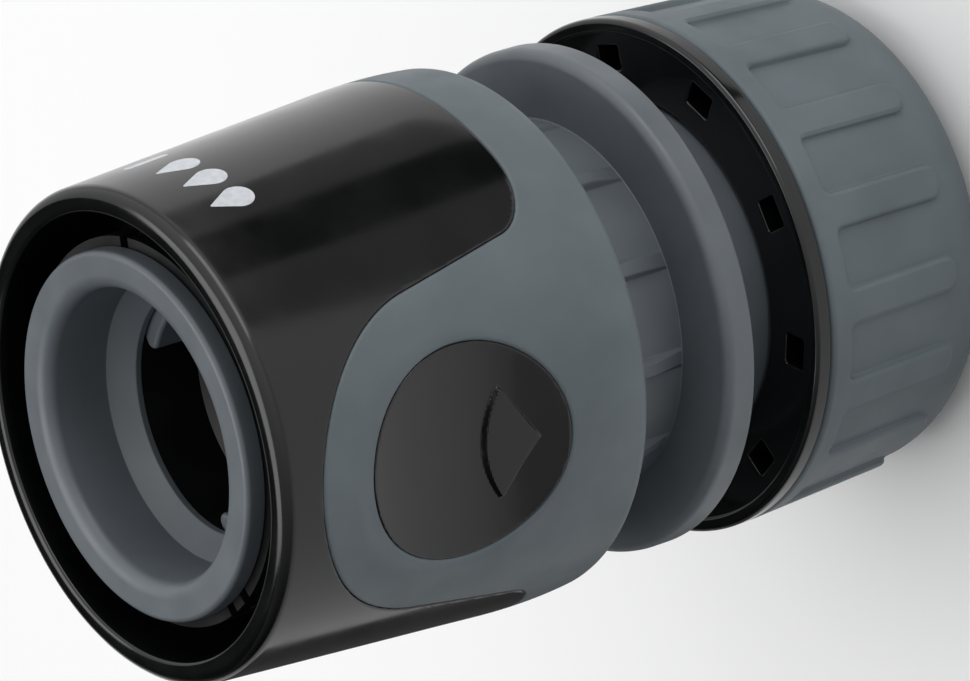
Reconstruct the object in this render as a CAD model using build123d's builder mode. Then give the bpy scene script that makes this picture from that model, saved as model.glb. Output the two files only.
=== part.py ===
from build123d import *
from math import cos, radians, sin, sqrt, tan
import os

# Stop connector for a half inch garden hose, in millimetres.
# The origin is the centre of the nut's rear face, which the part stands on, and +Z runs up the
# axis to the mouth that takes the plug. The thumb recesses face -Y and +Y.

# Plug side: the mouth that the plug's collar, ridge and nose go into
mouth_radius = 10.3
mouth_bore_length = 4.1
mouth_round = 1.05
ledge_height = 1.4
ledge_width = 1.6
throat_length = 0.5
mouth_flange = 1.55
ring_tube_wall = 1.7
ring_tube_seat = 1.0
edge_round = 0.4

# Socket body: the tube that holds the claws, the plug's nose and the valve seat
pad_step = 0.5
pad_height = 5.3
collar_step = 0.7
collar_slit_width = 0.9
collar_slit_depth = 1.6
collar_slit_azimuths = (9, -131, -140)
nose_bore_step = 0.7
nose_bore_length = 8.0
nose_tube_wall = 1.8
body_wall = 1.8
core_depth = 6.5
hall_chamfer = 0.8

# Locking claws: two blocks that slide radially in windows of the socket body
claw_count = 2
claw_azimuth = 35
claw_reach = 1.1
claw_side_drop = 2.35
claw_height = 4.0
claw_tip_round = 0.6
claw_head_side = 0.75
claw_head_height = 2.6
claw_play = 0.2
claw_floor = 0.4

# Release sleeve: hard shell with a soft grip let into it
sleeve_length = 30.2
sleeve_lead = 0.25
sleeve_wall = 3.6
spring_room = 2.5
sleeve_front_drop = 1.6
sleeve_waist_drop = 0.3
sleeve_heel_drop = 0.15
sleeve_heel_slope = 0.1
sleeve_front_round = 1.0
sleeve_heel_round = 1.1
sleeve_mouth_wall = 1.8
waist_height = 10.3
crown_height = 5.3
guide_thickness = 2.5
cone_slope = 0.25
grip_depth = 1.2

# Outline of the soft grip, seen along Y: one lobe round each thumb recess, and a band at the rear
lobe_radius = 11.65
lobe_height = 15.4
lobe_lean = 10.5
band_height = 5.5
lobe_fillet = 3.0

# Thumb recess: a scoop across the sleeve, with an arrow standing on its floor
recess_radius = 7.75
recess_height = 14.8
scoop_radius = 19.0
scoop_drop = 2.7
scoop_lead = 2.1
arrow_half_width = 4.1
arrow_base_drop = 1.6
arrow_wing_drop = 2.85
arrow_tip_drop = 5.75
arrow_relief = 0.4

# Tail body: neck, disc, threaded tube and hose tail in one moulding
disc_drop = 0.7
disc_thickness = 2.5
disc_front_round = 0.8
disc_back_round = 0.3
neck_step = 0.5
neck_length = 8.5
neck_rib_count = 12
neck_rib_width = 1.2
neck_rib_height = 0.65
spring_seat_thickness = 1.5
skirt_depth = 6.5
chamber_wall = 2.35
chamber_floor_height = 0.6
hose_tail_radius = 6.4
hose_tail_wall = 1.4
hose_tail_end = 2.2
hose_tail_lead = 1.2
barb_count = 3
barb_pitch = 3.2
barb_length = 1.6
barb_depth = 0.4
thread_radius = 13.0
thread_tube_wall = 1.8
thread_tube_drop = 12.0
hose_stop_drop = 2.0

# Valve: seat ring, plunger, rings and springs
seat_width = 2.0
seat_thickness = 2.0
plunger_flow_gap = 1.0
plunger_head_thickness = 2.4
plunger_head_gap = 0.3
plunger_fin_width = 1.4
plunger_fin_length = 7.8
plunger_hub_radius = 1.6
plunger_boss_gap = 0.6
plunger_boss_height = 2.0
valve_ring_wire = 1.0
valve_ring_land = 0.7
body_ring_wire = 1.06
body_ring_groove = 1.6
body_ring_height = 1.2
valve_spring_wire = 0.8
valve_spring_gap = 2.5
valve_spring_turns = 7
sleeve_spring_wire = 1.1
sleeve_spring_gap = 0.55
sleeve_spring_turns = 5

# Union nut: hard core with a soft ribbed grip over it
nut_height = 18.8
nut_face_width = 4.65
nut_rim_height = 1.3
nut_rim_width = 0.95
nut_face_sink = 0.4
nut_rim_step = 0.5
nut_grip_taper = 0.6
nut_rear_round = 4.6
nut_grip_wall = 0.8
nut_grip_lift = 0.2
nut_bore_clearance = 0.3
nut_shoulder_width = 0.9
nut_lip = 1.4
nut_cone_height = 4.2
nut_lip_width = 1.0
nut_cone_rise = 1.4
nut_pocket_count = 10
nut_pocket_azimuth = 14
nut_pocket_width = 2.3
nut_pocket_depth = 4.0
nut_pocket_margin = 1.8
nut_pocket_rim_gap = 1.05
nut_rib_count = 17
nut_rib_azimuth = -62.3
nut_rib_width = 2.6
nut_rib_height = 0.5
nut_rib_round = 1.0
nut_rib_rear = 5.0
nut_band_height = 2.0
nut_band_gap = 0.2
disc_gap = 5.2

# Grip ring: the split collet that the nut presses on to the hose
grip_ring_wall = 1.45
grip_ring_tube_length = 9.75
grip_ring_flange = 1.5
grip_slot_count = 8
grip_slot_width = 1.0
grip_slot_length = 8.0
grip_tooth_count = 3
grip_tooth_pitch = 1.2
grip_tooth_height = 0.3

# Clearances: sliding pairs, seated pairs and rings in their grooves
slide_clearance = 0.1
seat_clearance = 0.05
ring_clearance = 0.02
collet_clearance = 0.25
flange_clearance = 0.15
stop_clearance = 0.2

# Radii, worked out from the sizes above
throat_radius = mouth_radius - ledge_width
nose_bore_radius = throat_radius - nose_bore_step
ring_tube_radius = mouth_radius + ring_tube_wall
body_radius = ring_tube_radius + ring_tube_seat
mouth_ring_radius = body_radius
skirt_bore = body_radius - body_wall
spigot_radius = skirt_bore - seat_clearance
pad_radius = body_radius + pad_step
collar_radius = body_radius + collar_step
claw_hall_radius = nose_bore_radius + hall_chamfer
claw_tip_radius = throat_radius - claw_reach
claw_width = 2 * (claw_tip_radius - claw_side_drop)
claw_head_width = claw_width + 2 * claw_head_side
sleeve_inner_radius = body_radius + spring_room
sleeve_crown_radius = sleeve_inner_radius + sleeve_wall
sleeve_waist_radius = sleeve_crown_radius - sleeve_waist_drop
sleeve_heel_radius = sleeve_crown_radius - sleeve_heel_drop
sleeve_front_radius = sleeve_crown_radius - sleeve_front_drop
sleeve_mouth_radius = sleeve_front_radius - sleeve_mouth_wall
sleeve_spring_radius = sleeve_inner_radius - sleeve_spring_gap - sleeve_spring_wire / 2
scoop_floor = sleeve_crown_radius - scoop_drop
disc_radius = sleeve_crown_radius - disc_drop
spring_seat_radius = sleeve_inner_radius - stop_clearance
neck_radius = body_radius + neck_step
chamber_radius = spigot_radius - chamber_wall
waterway_radius = hose_tail_radius - barb_depth - hose_tail_wall
thread_tube_bore = thread_radius - thread_tube_wall
plunger_head_radius = chamber_radius - plunger_flow_gap
seat_hole_radius = nose_bore_radius - seat_width
valve_ring_radius = seat_hole_radius + valve_ring_land
valve_spring_radius = chamber_radius - valve_spring_gap - valve_spring_wire / 2
plunger_boss_radius = valve_spring_radius - valve_spring_wire / 2 - plunger_boss_gap
nut_bore = thread_radius + nut_bore_clearance
cone_mouth = nut_bore - nut_shoulder_width
nut_cone_radius = cone_mouth - nut_cone_rise
nut_opening_radius = nut_cone_radius - nut_lip_width
nut_rim_inner = nut_bore + nut_face_width
nut_rim_radius = nut_rim_inner + nut_rim_width
nut_grip_front_radius = nut_rim_radius - nut_rim_step
nut_grip_rear_radius = nut_grip_front_radius - nut_grip_taper
nut_pocket_inner = nut_bore + nut_pocket_margin
nut_pocket_outer = nut_rim_inner - nut_pocket_rim_gap
ring_tube_outer = thread_tube_bore - collet_clearance
grip_ring_bore = ring_tube_outer - grip_ring_wall

# Levels up the axis, worked out from the sizes above
disc_back_z = nut_height + disc_gap
disc_front_z = disc_back_z + disc_thickness
spring_seat_z = disc_front_z + neck_length
joint_z = spring_seat_z + spring_seat_thickness
nose_bore_z = joint_z + skirt_depth
valve_seat_z = nose_bore_z - seat_thickness
claw_hall_z = nose_bore_z + nose_bore_length
claw_z = claw_hall_z + hall_chamfer + claw_floor + claw_play
window_z = claw_z - claw_play
throat_z = claw_z + claw_height + claw_play
pad_z = window_z - hall_chamfer + claw_play + slide_clearance
ledge_z = throat_z + throat_length
mouth_bore_z = ledge_z + ledge_height
mouth_round_z = mouth_bore_z + mouth_bore_length
mouth_z = mouth_round_z + mouth_round
collar_z = mouth_z - mouth_flange
collar_foot_z = pad_z + pad_height
sleeve_front_z = mouth_z + sleeve_lead
sleeve_rear_z = sleeve_front_z - sleeve_length
guide_front_z = pad_z - stop_clearance
guide_rear_z = guide_front_z - guide_thickness
cone_radius = pad_radius + slide_clearance
cone_end_z = guide_front_z + (sleeve_mouth_radius - cone_radius) / cone_slope
thread_tube_z = disc_back_z - thread_tube_drop
hose_stop_z = disc_back_z - hose_stop_drop
chamber_floor_z = disc_back_z + chamber_floor_height
recess_z = sleeve_rear_z + recess_height
head_top_z = valve_seat_z - plunger_head_gap
head_foot_z = head_top_z - plunger_head_thickness


def cone_at(z):
    """Radius of the sleeve's inner cone at a height."""
    return cone_radius + cone_slope * (z - guide_front_z)


def sleeve_outline(inset):
    """Draws the sleeve's outside from its heel to its mouth, moved in by the inset."""
    heel = (sleeve_heel_radius - inset, sleeve_rear_z + sleeve_heel_round)
    crown = (sleeve_crown_radius - inset, sleeve_rear_z + crown_height)
    waist = (sleeve_waist_radius - inset, sleeve_rear_z + waist_height)
    front = (sleeve_front_radius - inset, sleeve_front_z - sleeve_front_round)
    heel_foot = (heel[0] - sleeve_heel_round, sleeve_rear_z)
    rim = (front[0] - sleeve_front_round, sleeve_front_z)
    TangentArc(heel_foot, heel, tangent=(1, 0))
    taper = (front[0] - waist[0], front[1] - waist[1])
    Spline(heel, crown, waist, tangents=((sleeve_heel_slope, 1), taper))
    Line(waist, front)
    TangentArc(front, rim, tangent=taper)
    return heel_foot, rim


# Soft grip's outline, carried through both sides of the sleeve
lobe_z = sleeve_rear_z + lobe_height
band_z = sleeve_rear_z + band_height
lean = radians(lobe_lean)
lobe_side = (lobe_radius * cos(lean), lobe_z + lobe_radius * sin(lean))
lobe_foot = lobe_side[0] + (lobe_side[1] - band_z) * tan(lean)
reach = 2 * sleeve_crown_radius

with BuildPart() as grip_region:
    with BuildSketch(Plane.XZ) as grip_sketch:
        with Locations((0, lobe_z)):
            Circle(lobe_radius)
        with BuildLine():
            Polyline(
                (-lobe_side[0], lobe_side[1]),
                lobe_side,
                (lobe_foot, band_z),
                (-lobe_foot, band_z),
                close=True,
            )
        make_face()
        with Locations((0, band_z)):
            Rectangle(2 * reach, reach, align=(Align.CENTER, Align.MAX))
        corners = grip_sketch.vertices().filter_by(lambda v: abs(v.Y - band_z) < ring_clearance)
        fillet(corners.sort_by(lambda v: abs(v.X))[:2], lobe_fillet)
    extrude(amount=reach, both=True)

# Layer of the sleeve that the soft grip fills
with BuildPart() as grip_layer:
    with BuildSketch(Plane.XZ):
        with BuildLine():
            outer_foot, outer_rim = sleeve_outline(0)
            inner_foot, inner_rim = sleeve_outline(grip_depth)
            Line(outer_foot, inner_foot)
            Line(outer_rim, inner_rim)
        make_face()
    revolve(axis=Axis.Z)
    add(grip_region.part, mode=Mode.INTERSECT)
    with BuildSketch(Plane.XZ):
        with Locations((0, recess_z)):
            Circle(recess_radius)
    extrude(amount=reach, both=True, mode=Mode.SUBTRACT)

# Scoops of both thumb recesses
scoop_z = recess_z + scoop_lead
with BuildPart() as scoops:
    with Locations((0, scoop_floor + scoop_radius, scoop_z), (0, -scoop_floor - scoop_radius, scoop_z)):
        Cylinder(scoop_radius, 2 * sleeve_crown_radius, rotation=(0, 90, 0))


def scoop_at(z):
    """Distance from the axis to the scoop's floor at a height."""
    return scoop_floor + scoop_radius - sqrt(scoop_radius**2 - (scoop_z - z) ** 2)


# Arrow on each recess floor, level with the floor at its tip
arrow_base_z = recess_z - arrow_base_drop
arrow_wing_z = recess_z - arrow_wing_drop
arrow_tip_z = recess_z - arrow_tip_drop
arrow_base_y = scoop_at(arrow_base_z) + arrow_relief
arrow_tip_y = scoop_at(arrow_tip_z)
arrow_root_y = scoop_floor - arrow_relief
with BuildPart() as arrows:
    with BuildSketch(Plane.XZ.offset(arrow_root_y)):
        with BuildLine():
            Polyline(
                (-arrow_half_width, arrow_wing_z),
                (0, arrow_tip_z),
                (arrow_half_width, arrow_wing_z),
            )
            ThreePointArc(
                (arrow_half_width, arrow_wing_z),
                (0, arrow_base_z),
                (-arrow_half_width, arrow_wing_z),
            )
        make_face()
    extrude(amount=arrow_tip_y - arrow_root_y + arrow_relief)
    with BuildSketch(Plane.YZ):
        with BuildLine():
            Polyline(
                (-arrow_root_y, arrow_base_z),
                (-arrow_base_y, arrow_base_z),
                (-arrow_tip_y, arrow_tip_z),
                (-arrow_root_y, arrow_tip_z),
                close=True,
            )
        make_face()
    extrude(amount=arrow_half_width, both=True, mode=Mode.INTERSECT)
    mirror(about=Plane.XZ)

# Release sleeve, hard shell: guide flange, cone that drives the claws, and the recesses
with BuildPart() as sleeve_shell:
    with BuildSketch(Plane.XZ):
        with BuildLine():
            heel_foot, rim = sleeve_outline(0)
            Polyline(
                rim,
                (sleeve_mouth_radius, sleeve_front_z),
                (sleeve_mouth_radius, cone_end_z),
                (cone_radius, guide_front_z),
                (body_radius + slide_clearance, guide_front_z),
                (body_radius + slide_clearance, guide_rear_z),
                (sleeve_inner_radius, guide_rear_z),
                (sleeve_inner_radius, sleeve_rear_z),
                heel_foot,
            )
        make_face()
    revolve(axis=Axis.Z)
    add(grip_layer.part, mode=Mode.SUBTRACT)
    add(scoops.part, mode=Mode.SUBTRACT)
    add(arrows.part)

# Release sleeve, soft grip: the same layer with the scoops cut through its edge
with BuildPart() as sleeve_grip:
    add(grip_layer.part)
    add(scoops.part, mode=Mode.SUBTRACT)

# Mouth ring: flange, mouth bore, ledge and throat
with BuildPart() as mouth_ring:
    with BuildSketch(Plane.XZ):
        with BuildLine():
            Polyline(
                (mouth_radius + mouth_round, mouth_z),
                (mouth_ring_radius - edge_round, mouth_z),
                (mouth_ring_radius, mouth_z - edge_round),
                (mouth_ring_radius, collar_z),
                (ring_tube_radius, collar_z),
                (ring_tube_radius, throat_z),
                (throat_radius, throat_z),
                (throat_radius, ledge_z),
                (mouth_radius, mouth_bore_z),
                (mouth_radius, mouth_round_z),
            )
            TangentArc(
                (mouth_radius, mouth_round_z),
                (mouth_radius + mouth_round, mouth_z),
                tangent=(0, 1),
            )
        make_face()
    revolve(axis=Axis.Z)

# Room that the claws' heads need in the pads round the socket body
window_width = claw_width + 2 * claw_play
notch_width = claw_head_width + 2 * claw_play
with BuildPart() as head_notches:
    with PolarLocations(0, claw_count, start_angle=claw_azimuth):
        with Locations((0, 0, pad_z)):
            Box(
                reach,
                notch_width,
                collar_foot_z - pad_z,
                align=(Align.MIN, Align.CENTER, Align.MIN),
            )
    Cylinder(body_radius, 2 * mouth_z, mode=Mode.SUBTRACT)

# Socket body: one turned form, then the claw windows and the slits of the collar
core_inner = nose_bore_radius + nose_tube_wall
with BuildPart() as socket_body:
    with BuildSketch(Plane.XZ):
        with BuildLine():
            Polyline(
                (skirt_bore, joint_z),
                (body_radius, joint_z),
                (body_radius, pad_z),
                (pad_radius, pad_z),
                (pad_radius, collar_foot_z),
                (collar_radius, collar_foot_z),
                (collar_radius, collar_z),
                (ring_tube_radius, collar_z),
                (ring_tube_radius, throat_z),
                (claw_hall_radius, throat_z),
                (claw_hall_radius, claw_hall_z + hall_chamfer),
                (nose_bore_radius, claw_hall_z),
                (nose_bore_radius, nose_bore_z),
                (core_inner, nose_bore_z),
                (core_inner, nose_bore_z + core_depth),
                (skirt_bore, nose_bore_z + core_depth),
                close=True,
            )
        make_face()
    revolve(axis=Axis.Z)
    add(head_notches.part, mode=Mode.SUBTRACT)
    with PolarLocations(0, claw_count, start_angle=claw_azimuth):
        with Locations((0, 0, window_z)):
            Box(
                reach,
                window_width,
                throat_z - window_z,
                align=(Align.MIN, Align.CENTER, Align.MIN),
                mode=Mode.SUBTRACT,
            )
    for azimuth in collar_slit_azimuths:
        with PolarLocations(0, 1, start_angle=azimuth):
            with Locations((ring_tube_radius, 0, collar_z)):
                Box(
                    body_radius,
                    collar_slit_width,
                    collar_slit_depth,
                    align=(Align.MIN, Align.CENTER, Align.MAX),
                    mode=Mode.SUBTRACT,
                )

# Locking claw, drawn on the X axis: a block in the window with a head that rides on the cone
head_z = claw_z + claw_head_height
with BuildPart() as claw_block:
    with BuildSketch(Plane.XY.offset(claw_z)) as claw_plan:
        with Locations((claw_tip_radius / 2, 0)):
            Rectangle(body_radius, claw_width, align=(Align.MIN, Align.CENTER))
        Circle(claw_tip_radius, mode=Mode.SUBTRACT)
        fillet(claw_plan.vertices().sort_by(Axis.X)[:2], claw_tip_round)
    extrude(amount=claw_height)
    Cylinder(body_radius + stop_clearance, 4 * mouth_z, mode=Mode.INTERSECT)
    fillet(claw_block.faces().sort_by(Axis.X)[0].edges(), claw_tip_round / 2)

with BuildPart() as claw_head:
    with BuildSketch(Plane.XZ):
        with BuildLine():
            Polyline(
                (body_radius + slide_clearance, claw_z),
                (cone_at(claw_z) - flange_clearance, claw_z),
                (cone_at(head_z) - flange_clearance, head_z),
                (body_radius + slide_clearance, head_z),
                close=True,
            )
        make_face()
    revolve(axis=Axis.Z)
    Box(
        reach,
        claw_head_width,
        4 * mouth_z,
        align=(Align.MIN, Align.CENTER, Align.CENTER),
        mode=Mode.INTERSECT,
    )
    add(claw_block.part)

# Tail body: hose tail with barbs, threaded tube, disc, neck, spring seat and valve chamber
groove_floor = skirt_bore - seat_clearance - body_ring_wire
groove_z = joint_z + body_ring_height
barbs = []
for index in range(barb_count):
    barb_z = hose_tail_end + hose_tail_lead + barb_pitch * (index + 1)
    barbs += [
        (hose_tail_radius, barb_z - barb_length),
        (hose_tail_radius - barb_depth, barb_z - barb_length),
        (hose_tail_radius, barb_z),
    ]
with BuildPart() as tail_body:
    with BuildSketch(Plane.XZ):
        with BuildLine():
            Polyline(
                (waterway_radius, hose_tail_end),
                (hose_tail_radius - edge_round, hose_tail_end),
                (hose_tail_radius, hose_tail_end + hose_tail_lead),
                *barbs,
                (hose_tail_radius, hose_stop_z),
                (thread_tube_bore, hose_stop_z),
                (thread_tube_bore, thread_tube_z),
                (thread_radius - edge_round, thread_tube_z),
                (thread_radius, thread_tube_z + edge_round),
                (thread_radius, disc_back_z),
                (disc_radius, disc_back_z),
                (disc_radius, disc_front_z),
                (neck_radius, disc_front_z),
                (neck_radius, spring_seat_z),
                (spring_seat_radius, spring_seat_z),
                (spring_seat_radius, joint_z),
                (spigot_radius, joint_z),
                (spigot_radius, groove_z),
                (groove_floor, groove_z),
                (groove_floor, groove_z + body_ring_groove),
                (spigot_radius, groove_z + body_ring_groove),
                (spigot_radius, valve_seat_z),
                (chamber_radius, valve_seat_z),
                (chamber_radius, chamber_floor_z),
                (waterway_radius, chamber_floor_z),
                close=True,
            )
        make_face()
    revolve(axis=Axis.Z)
    rim_edges = tail_body.edges().filter_by(GeomType.CIRCLE)
    rim_edges = rim_edges.filter_by(lambda e: abs(e.radius - disc_radius) < seat_clearance)
    fillet(rim_edges.sort_by(Axis.Z)[-1], disc_front_round)
    rim_edges = tail_body.edges().filter_by(GeomType.CIRCLE)
    rim_edges = rim_edges.filter_by(lambda e: abs(e.radius - disc_radius) < seat_clearance)
    fillet(rim_edges.sort_by(Axis.Z)[0], disc_back_round)
    with PolarLocations(0, neck_rib_count):
        with Locations((neck_radius - neck_rib_height, 0, disc_front_z)):
            Box(
                2 * neck_rib_height,
                neck_rib_width,
                neck_length,
                align=(Align.MIN, Align.CENTER, Align.MIN),
            )

# Ring that seals the joint of the socket and tail bodies
with BuildPart() as body_seal:
    ring_radius = (body_ring_wire - 2 * ring_clearance) / 2
    with Locations((0, 0, groove_z + body_ring_groove / 2)):
        Torus(groove_floor + body_ring_wire / 2 + seat_clearance / 2, ring_radius)

# Valve seat, held between the nose bore's tube and the spigot
with BuildPart() as valve_seat:
    with Locations((0, 0, valve_seat_z)):
        Cylinder(spigot_radius, seat_thickness, align=(Align.CENTER, Align.CENTER, Align.MIN))
        Cylinder(
            seat_hole_radius,
            seat_thickness,
            align=(Align.CENTER, Align.CENTER, Align.MIN),
            mode=Mode.SUBTRACT,
        )
    chamfer(valve_seat.edges().group_by(Axis.Z)[-1].sort_by(SortBy.RADIUS)[0], edge_round)

# Valve plunger: crossed fins that the plug's nose pushes, a head with a face groove and a boss
face_groove = valve_ring_wire / 2 + ring_clearance
ring_z = valve_seat_z - ring_clearance - valve_ring_wire / 2
fin_top_z = head_top_z + plunger_fin_length
with BuildPart() as valve_plunger:
    with BuildSketch(Plane.XZ):
        with BuildLine():
            Polyline(
                (0, head_foot_z - plunger_boss_height),
                (plunger_boss_radius, head_foot_z - plunger_boss_height),
                (plunger_boss_radius, head_foot_z),
                (plunger_head_radius, head_foot_z),
                (plunger_head_radius, head_top_z),
                (valve_ring_radius + face_groove, head_top_z),
                (valve_ring_radius + face_groove, ring_z - face_groove),
                (valve_ring_radius - face_groove, ring_z - face_groove),
                (valve_ring_radius - face_groove, head_top_z),
                (plunger_hub_radius, head_top_z),
                (plunger_hub_radius, fin_top_z),
                (0, fin_top_z),
                close=True,
            )
        make_face()
    revolve(axis=Axis.Z)
    fin_reach = seat_hole_radius - slide_clearance
    for plane in (Plane.XZ, Plane.YZ):
        with BuildSketch(plane):
            with BuildLine():
                Polyline(
                    (-fin_reach, head_top_z),
                    (-fin_reach, fin_top_z - plunger_fin_width),
                    (-fin_reach + plunger_fin_width, fin_top_z),
                    (fin_reach - plunger_fin_width, fin_top_z),
                    (fin_reach, fin_top_z - plunger_fin_width),
                    (fin_reach, head_top_z),
                    close=True,
                )
            make_face()
        extrude(amount=plunger_fin_width / 2, both=True)

# Ring on the plunger's head that closes on the seat
with BuildPart() as valve_seal:
    with Locations((0, 0, ring_z)):
        Torus(valve_ring_radius, valve_ring_wire / 2)

# Springs: open coils between flat seats
valve_spring_length = head_foot_z - chamber_floor_z - 2 * ring_clearance - valve_spring_wire
valve_spring_pitch = valve_spring_length / valve_spring_turns
valve_spring_foot = (0, 0, chamber_floor_z + ring_clearance + valve_spring_wire / 2)
with BuildPart() as valve_spring:
    with BuildLine():
        valve_coil = Helix(
            valve_spring_pitch, valve_spring_length, valve_spring_radius, center=valve_spring_foot
        )
    with BuildSketch(Plane(origin=valve_coil @ 0, z_dir=valve_coil % 0)):
        Circle(valve_spring_wire / 2)
    sweep(is_frenet=True)

sleeve_spring_length = guide_rear_z - joint_z - 2 * ring_clearance - sleeve_spring_wire
sleeve_spring_pitch = sleeve_spring_length / sleeve_spring_turns
sleeve_spring_foot = (0, 0, joint_z + ring_clearance + sleeve_spring_wire / 2)
with BuildPart() as sleeve_spring:
    with BuildLine():
        sleeve_coil = Helix(
            sleeve_spring_pitch, sleeve_spring_length, sleeve_spring_radius, center=sleeve_spring_foot
        )
    with BuildSketch(Plane(origin=sleeve_coil @ 0, z_dir=sleeve_coil % 0)):
        Circle(sleeve_spring_wire / 2)
    sweep(is_frenet=True)

# Nut core: opening, cone for the collet, threaded bore, and coring pockets in the front face
shoulder_z = nut_lip + nut_cone_height
nut_face_z = nut_height - nut_face_sink
rim_foot_z = nut_height - nut_rim_height
rear_centre = nut_grip_rear_radius - nut_rear_round
round_z = nut_grip_lift + nut_rear_round
with BuildPart() as nut_core:
    with BuildSketch(Plane.XZ):
        with BuildLine():
            Polyline(
                (nut_grip_rear_radius - nut_grip_wall, round_z),
                (nut_grip_front_radius - nut_grip_wall, rim_foot_z),
                (nut_rim_radius, rim_foot_z),
                (nut_rim_radius, nut_height),
                (nut_rim_inner, nut_height),
                (nut_rim_inner, nut_face_z),
                (nut_bore, nut_face_z),
                (nut_bore, shoulder_z),
                (cone_mouth, shoulder_z),
                (nut_cone_radius, nut_lip),
                (nut_opening_radius, nut_lip),
                (nut_opening_radius, 0),
                (rear_centre, 0),
                (rear_centre, nut_grip_lift + nut_grip_wall),
            )
            TangentArc(
                (rear_centre, nut_grip_lift + nut_grip_wall),
                (nut_grip_rear_radius - nut_grip_wall, round_z),
                tangent=(1, 0),
            )
        make_face()
    revolve(axis=Axis.Z)
    pocket_length = nut_pocket_outer - nut_pocket_inner
    with PolarLocations(0, nut_pocket_count, start_angle=nut_pocket_azimuth):
        with Locations((nut_pocket_inner, 0, nut_face_z)):
            Box(
                pocket_length,
                nut_pocket_width,
                nut_pocket_depth,
                align=(Align.MIN, Align.CENTER, Align.MAX),
                mode=Mode.SUBTRACT,
            )
    fillet(nut_core.edges().group_by(Axis.Z)[-1].sort_by(SortBy.RADIUS)[-1], edge_round)

# Ribs of the nut's grip, cut from a ring that follows its taper
band_top_z = rim_foot_z - nut_band_gap
band_foot_z = band_top_z - nut_band_height


def nut_grip_at(z):
    """Radius of the nut grip's smooth surface at a height."""
    share = (z - round_z) / (rim_foot_z - round_z)
    return nut_grip_rear_radius + share * (nut_grip_front_radius - nut_grip_rear_radius)


with BuildPart() as rib_pads:
    with BuildSketch(Plane.YZ.offset(rear_centre)):
        with Locations((0, nut_rib_rear)):
            RectangleRounded(
                nut_rib_width,
                2 * (band_top_z - nut_rib_rear),
                nut_rib_round,
                align=(Align.CENTER, Align.MIN),
            )
    pad = extrude(amount=reach, mode=Mode.PRIVATE)
    with PolarLocations(0, nut_rib_count, start_angle=nut_rib_azimuth):
        add(pad)
    with Locations((0, 0, band_foot_z)):
        Cylinder(reach, reach, align=(Align.CENTER, Align.CENTER, Align.MIN))

with BuildPart() as rib_ring:
    with BuildSketch(Plane.XZ):
        with BuildLine():
            Polyline(
                (nut_grip_at(nut_rib_rear) - nut_grip_wall / 2, nut_rib_rear),
                (nut_grip_at(nut_rib_rear) + nut_rib_height, nut_rib_rear),
                (nut_grip_at(band_top_z) + nut_rib_height, band_top_z),
                (nut_grip_at(band_top_z) - nut_grip_wall / 2, band_top_z),
                close=True,
            )
        make_face()
    revolve(axis=Axis.Z)
    add(rib_pads.part, mode=Mode.INTERSECT)

# Nut grip: soft jacket from the rim down round the rear edge, with its ribs
with BuildPart() as nut_grip:
    with BuildSketch(Plane.XZ):
        with BuildLine():
            Polyline(
                (nut_grip_rear_radius, round_z),
                (nut_grip_front_radius, rim_foot_z),
                (nut_grip_front_radius - nut_grip_wall, rim_foot_z),
                (nut_grip_rear_radius - nut_grip_wall, round_z),
            )
            TangentArc(
                (rear_centre, nut_grip_lift + nut_grip_wall),
                (nut_grip_rear_radius - nut_grip_wall, round_z),
                tangent=(1, 0),
            )
            Line((rear_centre, nut_grip_lift + nut_grip_wall), (rear_centre, nut_grip_lift))
            TangentArc(
                (rear_centre, nut_grip_lift), (nut_grip_rear_radius, round_z), tangent=(1, 0)
            )
        make_face()
    revolve(axis=Axis.Z)
    add(rib_ring.part)

# Grip ring: sliding tube, flange on the nut's shoulder, and toothed fingers in the nut's cone
ring_foot_z = nut_lip + collet_clearance
ring_flange_z = shoulder_z + flange_clearance
ring_tube_z = ring_flange_z + grip_ring_flange
cone_rate = nut_cone_rise / nut_cone_height
teeth = []
for index in range(grip_tooth_count):
    tooth_z = ring_foot_z + grip_tooth_pitch * (index + 1)
    teeth += [
        (grip_ring_bore, tooth_z - grip_tooth_pitch / 2),
        (grip_ring_bore - grip_tooth_height, tooth_z),
        (grip_ring_bore, tooth_z),
    ]
with BuildPart() as grip_ring:
    with BuildSketch(Plane.XZ):
        with BuildLine():
            Polyline(
                (grip_ring_bore, ring_foot_z),
                *teeth,
                (grip_ring_bore, ring_tube_z + grip_ring_tube_length),
                (ring_tube_outer - edge_round, ring_tube_z + grip_ring_tube_length),
                (ring_tube_outer, ring_tube_z + grip_ring_tube_length - edge_round),
                (ring_tube_outer, ring_tube_z),
                (nut_bore - collet_clearance, ring_tube_z),
                (nut_bore - collet_clearance, ring_flange_z),
                (cone_mouth - collet_clearance, ring_flange_z),
                (nut_cone_radius + cone_rate * collet_clearance - collet_clearance, ring_foot_z),
                close=True,
            )
        make_face()
    revolve(axis=Axis.Z)
    with PolarLocations(0, grip_slot_count):
        with Locations((grip_ring_bore / 2, 0, ring_foot_z)):
            Box(
                reach,
                grip_slot_width,
                grip_slot_length,
                align=(Align.MIN, Align.CENTER, Align.MIN),
                mode=Mode.SUBTRACT,
            )

# Write one file for each piece
os.makedirs("parts", exist_ok=True)

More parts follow.
